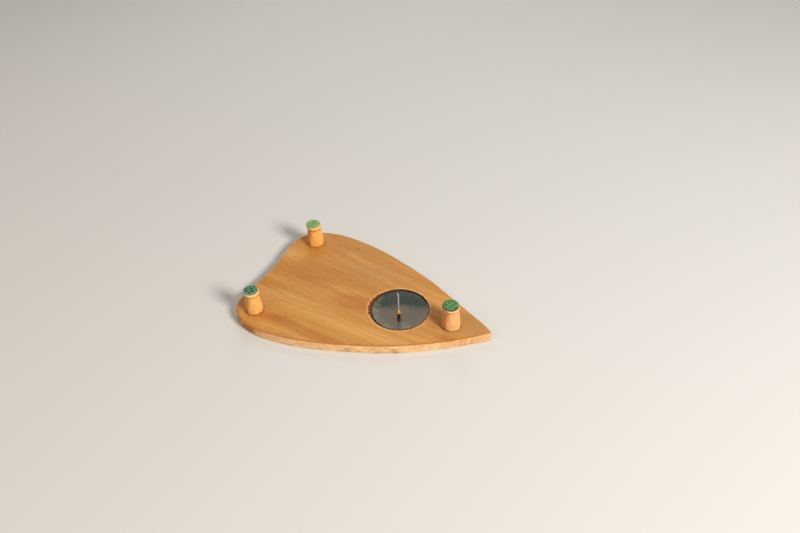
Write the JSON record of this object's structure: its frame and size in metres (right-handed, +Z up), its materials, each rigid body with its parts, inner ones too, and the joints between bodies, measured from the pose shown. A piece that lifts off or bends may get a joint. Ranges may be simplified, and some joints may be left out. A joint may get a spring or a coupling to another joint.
{
  "type": "planchette",
  "caption": "Shield-shaped wooden talking-board planchette, lying turned over: round smoked window with a steel pointer pin, and turned wooden feet with green felt pads.",
  "frame": {"origin": "middle of the whole object's bounding box, on the flat top face that it lies on", "axes": "+X towards the pointed front, +Y to the left, +Z up out of the underside, the way the feet point; in use the object is turned over, so -Z is up"},
  "size_m": [0.1575, 0.1058, 0.0225],
  "materials": {
    "board_wood": "satin",
    "foot_wood": "satin",
    "felt": "matte",
    "window_plastic": "gloss",
    "pin_steel": "satin",
    "glue": "gloss"
  },
  "bodies": {
    "root": {"board": "board_wood", "window_disc": "window_plastic", "pointer_pin": "pin_steel", "glue_bead": "glue", "foot_front": "foot_wood", "foot_rear_left": "foot_wood", "foot_rear_right": "foot_wood", "felt_front": "felt", "felt_rear_left": "felt", "felt_rear_right": "felt"}
  },
  "joints": []
}
